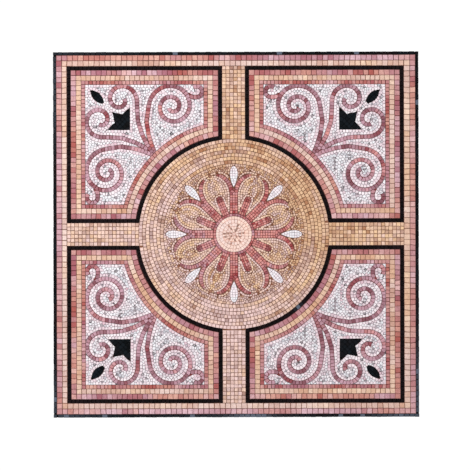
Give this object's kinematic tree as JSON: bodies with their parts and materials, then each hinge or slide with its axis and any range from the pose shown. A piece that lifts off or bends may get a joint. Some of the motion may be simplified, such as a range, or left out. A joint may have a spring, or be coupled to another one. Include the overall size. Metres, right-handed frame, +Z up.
{
  "type": "mosaic panel",
  "caption": "Square marble mosaic panel with a rosette in a round field, a cross of plain arms and scrollwork in black-lined corner panels.",
  "frame": {"origin": "centre of the flat back face of the setting bed", "axes": "+Z up the panel, +X to its right as seen from the front, the stone face looks along -Y and the back along +Y"},
  "size_m": [1.1, 0.012, 1.1],
  "materials": {
    "setting_bed": "dry cement mortar with a glass net pressed into the back",
    "black_marble": "honed",
    "rose_marble": "honed",
    "cream_marble": "honed",
    "beige_marble": "honed",
    "white_marble": "honed",
    "red_marble": "honed",
    "pink_marble": "honed"
  },
  "bodies": {
    "root": {"setting_bed": "setting_bed", "outer_black_row": "black_marble", "outer_rose_row": "rose_marble", "outer_cream_row": "cream_marble", "beige_field": "beige_marble", "rosette_red_work": "red_marble", "centre_disc": "pink_marble", "petal_1": "beige_marble", "white_drop_1": "white_marble", "petal_2": "beige_marble", "white_drop_2": "white_marble", "petal_3": "beige_marble", "white_drop_3": "white_marble", "petal_4": "beige_marble", "white_drop_4": "white_marble", "petal_5": "beige_marble", "white_drop_5": "white_marble", "petal_6": "beige_marble", "white_drop_6": "white_marble", "petal_7": "beige_marble", "white_drop_7": "white_marble", "petal_8": "beige_marble", "white_drop_8": "white_marble", "top_right_black_line": "black_marble", "top_right_rose_band": "rose_marble", "top_right_cream_band": "cream_marble", "top_right_inner_line": "rose_marble", "top_right_white_ground": "white_marble", "top_right_scroll": "red_marble", "top_right_bud": "black_marble", "top_right_leaf": "black_marble", "top_left_black_line": "black_marble", "top_left_rose_band": "rose_marble", "top_left_cream_band": "cream_marble", "top_left_inner_line": "rose_marble", "top_left_white_ground": "white_marble", "top_left_scroll": "red_marble", "top_left_bud": "black_marble", "top_left_leaf": "black_marble", "bottom_left_black_line": "black_marble", "bottom_left_rose_band": "rose_marble", "bottom_left_cream_band": "cream_marble", "bottom_left_inner_line": "rose_marble", "bottom_left_white_ground": "white_marble", "bottom_left_scroll": "red_marble", "bottom_left_bud": "black_marble", "bottom_left_leaf": "black_marble", "bottom_right_black_line": "black_marble", "bottom_right_rose_band": "rose_marble", "bottom_right_cream_band": "cream_marble", "bottom_right_inner_line": "rose_marble", "bottom_right_white_ground": "white_marble", "bottom_right_scroll": "red_marble", "bottom_right_bud": "black_marble", "bottom_right_leaf": "black_marble"}
  },
  "joints": []
}
